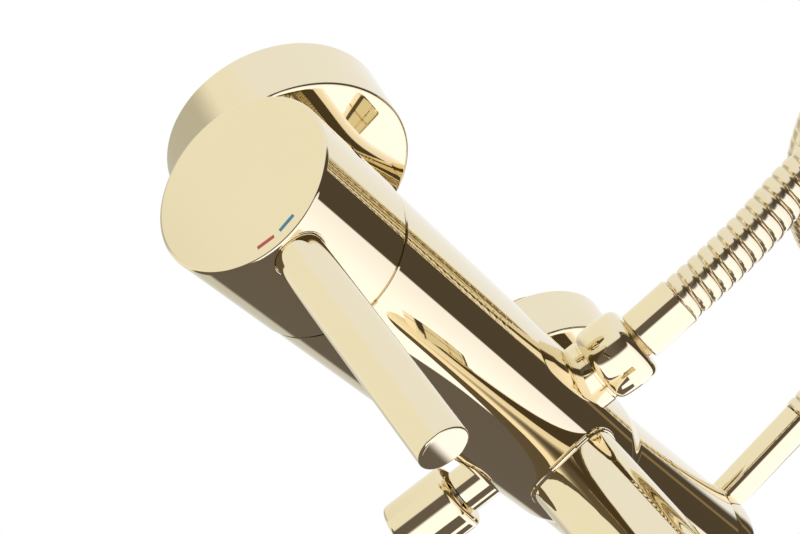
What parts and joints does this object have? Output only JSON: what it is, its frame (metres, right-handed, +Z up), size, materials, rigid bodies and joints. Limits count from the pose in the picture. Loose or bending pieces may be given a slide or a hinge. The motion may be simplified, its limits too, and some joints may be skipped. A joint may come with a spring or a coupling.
{
  "type": "bath shower mixer",
  "caption": "Wall-mounted single-lever bath and shower mixer with a straight round body, sloping spout, pull-up diverter and a coiled ribbed shower hose.",
  "frame": {"origin": "on the wall plane, midway between the two wall threads", "axes": "+X along the body towards the handle, +Y into the wall, +Z up"},
  "size_m": [0.3107, 0.1842, 0.3187],
  "materials": {
    "polished_gold": "polished",
    "raw_brass": "turned",
    "steel": "plain",
    "ceramic": "lapped",
    "cartridge_plastic": "moulded",
    "insert_plastic": "moulded",
    "seal_rubber": "matt",
    "hot_red": "enamel",
    "cold_blue": "enamel",
    "hose_gold": "metallised, ribbed",
    "tie_fabric": "woven"
  },
  "bodies": {
    "mixer": {"mixer_body": "polished_gold", "end_cap": "polished_gold", "handset_cradle": "polished_gold", "rosette_left": "polished_gold", "rosette_right": "polished_gold", "union_nut_left": "polished_gold", "union_nut_right": "polished_gold", "inlet_tail_left": "raw_brass", "inlet_tail_right": "raw_brass", "s_union_left": "raw_brass", "s_union_right": "raw_brass", "inlet_washer_left": "seal_rubber", "inlet_washer_right": "seal_rubber", "base_seal": "seal_rubber", "cartridge_base": "cartridge_plastic", "cartridge_housing": "cartridge_plastic", "ceramic_disc_fixed": "ceramic", "cartridge_nut": "raw_brass", "dome_ring": "polished_gold", "spout_tube": "polished_gold", "spout_seal": "seal_rubber", "aerator_housing": "polished_gold", "aerator_insert": "insert_plastic", "diverter_bonnet": "polished_gold", "diverter_spring": "steel", "outlet_nipple": "polished_gold", "check_valve": "insert_plastic", "hose_washer": "seal_rubber", "hose_nut": "polished_gold", "hose_tail": "raw_brass", "hose_ferrule": "polished_gold", "hose_run": "hose_gold", "hose_coil": "hose_gold", "hose_return": "hose_gold", "coil_tie": "tie_fabric", "hose_end_sleeve": "polished_gold", "handset_nut": "polished_gold", "handset_washer": "seal_rubber"},
    "turning_carrier": {"cartridge_carrier": "cartridge_plastic", "stem_pivot_pin": "steel"},
    "handle": {"cartridge_stem": "steel", "handle_barrel": "polished_gold", "lever_pin": "polished_gold", "handle_grub_screw": "steel", "hot_mark": "hot_red", "cold_mark": "cold_blue"},
    "disc": {"ceramic_disc_moving": "ceramic", "disc_driver": "cartridge_plastic"},
    "diverter": {"diverter_spindle": "steel", "diverter_valve": "seal_rubber", "diverter_knob": "polished_gold"}
  },
  "joints": [
    {"name": "handle_turn", "type": "hinge", "parent": "mixer", "child": "turning_carrier", "pos_m": [0.0899, -0.0577, 0.006], "axis": [1, 0, 0], "range_deg": [-55.4, 44.6]},
    {"name": "handle_lift", "type": "hinge", "parent": "turning_carrier", "child": "handle", "pos_m": [0.0899, -0.0577, 0.006], "axis": [0, -0.0941, 0.9956], "range_deg": [0, 20]},
    {"name": "disc_slide", "type": "slide", "parent": "turning_carrier", "child": "disc", "axis": [0, -0.9956, -0.0941], "range_m": [0, 0.0042]},
    {"name": "diverter_pull", "type": "slide", "parent": "mixer", "child": "diverter", "axis": [0, 0, 1], "range_m": [0, 0.008], "stiffness_N_per_m": 200, "springref_m": -0.004, "deforming": ["diverter_spring"]}
  ],
  "couplings": [
    {"joint": "disc_slide", "follows": "handle_lift", "m_per_rad": 0.011757}
  ]
}
